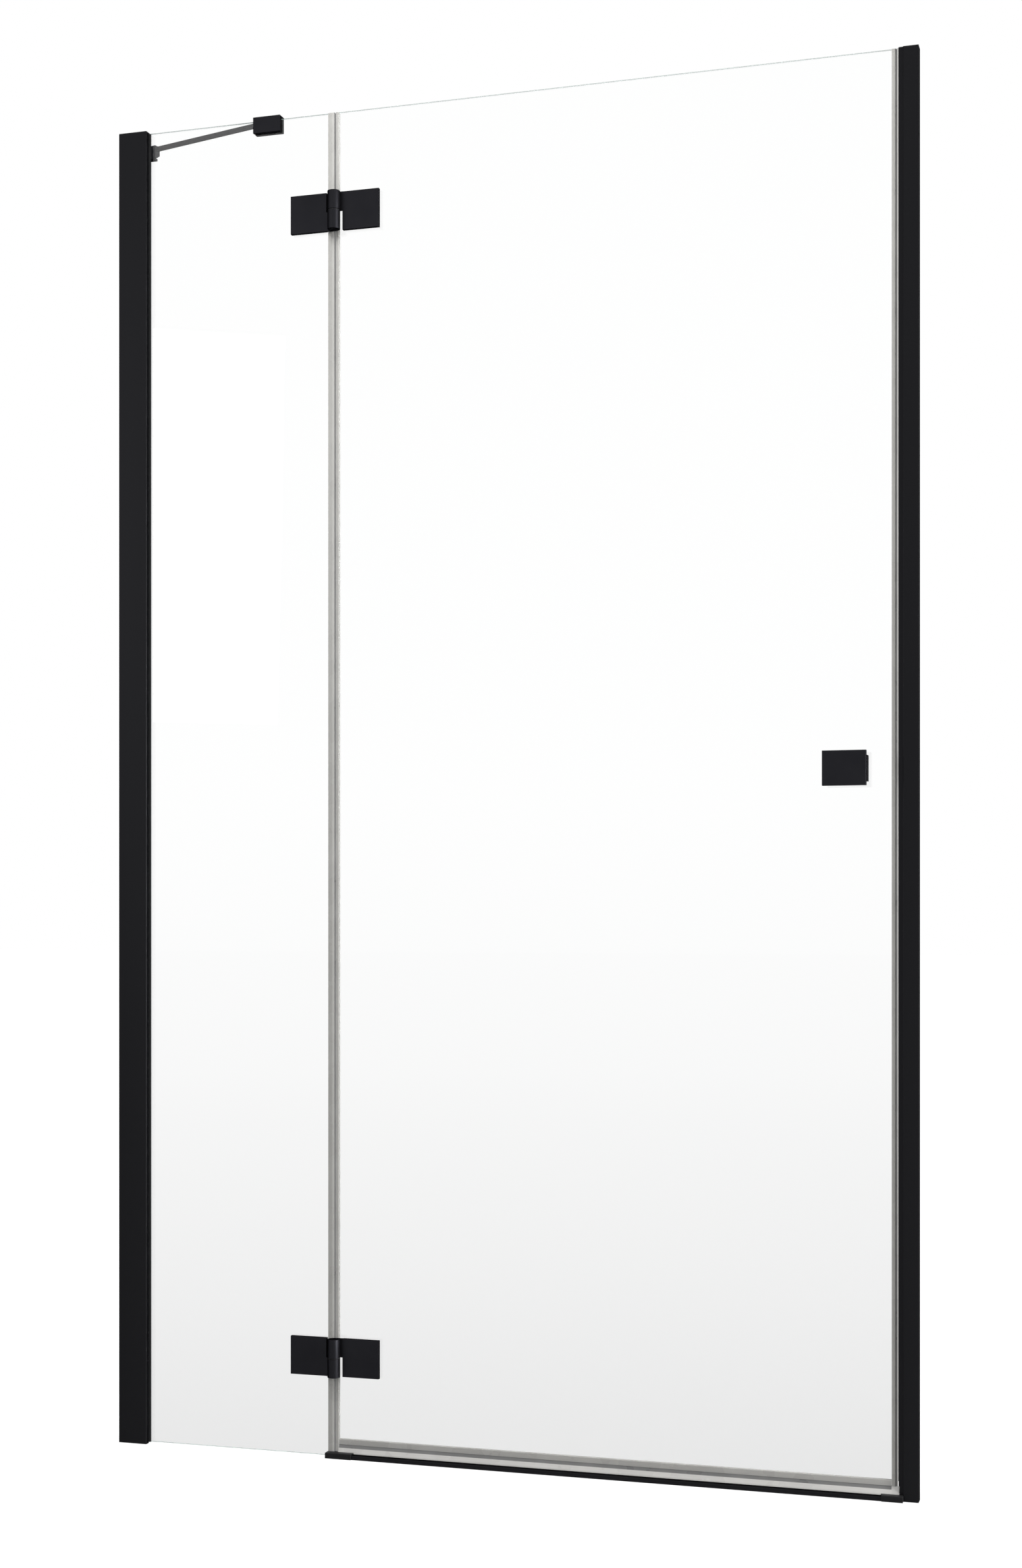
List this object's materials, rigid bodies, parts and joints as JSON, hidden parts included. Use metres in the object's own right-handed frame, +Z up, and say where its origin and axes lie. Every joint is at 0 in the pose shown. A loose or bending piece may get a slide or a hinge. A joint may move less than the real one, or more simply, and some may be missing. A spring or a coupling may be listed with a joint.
{
  "type": "shower door",
  "caption": "Frameless hinged shower door for a niche: narrow fixed pane, wide glass door on black hinges, wall profiles, brace bar, knob and low sill.",
  "frame": {"origin": "underside of the sill, midway between the two walls, in the mid-plane of the glass", "axes": "+X from the left wall to the right wall as seen from outside the shower, +Y into the shower, +Z up"},
  "size_m": [1.21, 0.1077, 2.0045],
  "materials": {
    "black_aluminium": "satin black anodised",
    "black_hardware": "satin black coating",
    "clear_glass": "clear toughened glass",
    "clear_seal": "clear flexible vinyl",
    "black_rubber": "matt",
    "black_plastic": "fine grain",
    "stainless_steel": "turned",
    "black_disc": "satin black coating",
    "acetal": "smooth black"
  },
  "bodies": {
    "frame": {"left_wall_profile": "black_aluminium", "left_glass_profile": "black_aluminium", "right_wall_profile": "black_aluminium", "right_strike_profile": "black_aluminium", "threshold_strip": "black_aluminium", "stabiliser_bar": "black_aluminium", "lower_hinge_fixed_leaf": "black_hardware", "upper_hinge_fixed_leaf": "black_hardware", "bar_swivel": "black_hardware", "bar_wall_flange": "black_hardware", "bar_pivot_screw": "black_hardware", "clamp_body": "black_hardware", "fixed_glass": "clear_glass", "fixed_edge_seal": "clear_seal", "fixed_glass_front_gasket": "black_rubber", "fixed_glass_rear_gasket": "black_rubber", "lower_hinge_fixed_gasket": "black_rubber", "upper_hinge_fixed_gasket": "black_rubber", "clamp_pads": "black_rubber", "left_top_cap": "black_plastic", "right_top_cap": "black_plastic", "threshold_left_cap": "black_plastic", "threshold_right_cap": "black_plastic", "left_screw_covers": "black_plastic", "right_screw_covers": "black_plastic", "left_fixing_screws": "stainless_steel", "right_fixing_screws": "stainless_steel", "lower_hinge_pin": "stainless_steel", "upper_hinge_pin": "stainless_steel", "fixed_leaf_screws": "stainless_steel", "clamp_set_screws": "stainless_steel", "fixed_leaf_discs": "black_disc", "lower_hinge_washer": "acetal", "upper_hinge_washer": "acetal", "fixed_leaf_sleeves": "acetal"},
    "door": {"door_glass": "clear_glass", "door_hinge_seal": "clear_seal", "closing_side_seal": "clear_seal", "bottom_seal": "clear_seal", "lower_hinge_door_leaf": "black_hardware", "upper_hinge_door_leaf": "black_hardware", "lower_hinge_bush": "acetal", "upper_hinge_bush": "acetal", "lower_hinge_door_gasket": "black_rubber", "upper_hinge_door_gasket": "black_rubber", "door_leaf_sleeves": "acetal", "door_leaf_discs": "black_disc", "door_leaf_screws": "stainless_steel", "knob": "black_hardware", "knob_gasket": "black_rubber", "knob_sleeves": "acetal", "knob_discs": "black_disc", "knob_screws": "stainless_steel"}
  },
  "joints": [
    {"name": "door_swing", "type": "hinge", "parent": "frame", "child": "door", "pos_m": [-0.2527, -0.0142, 0], "axis": [0, 0, -1], "range_deg": [0, 110]}
  ]
}
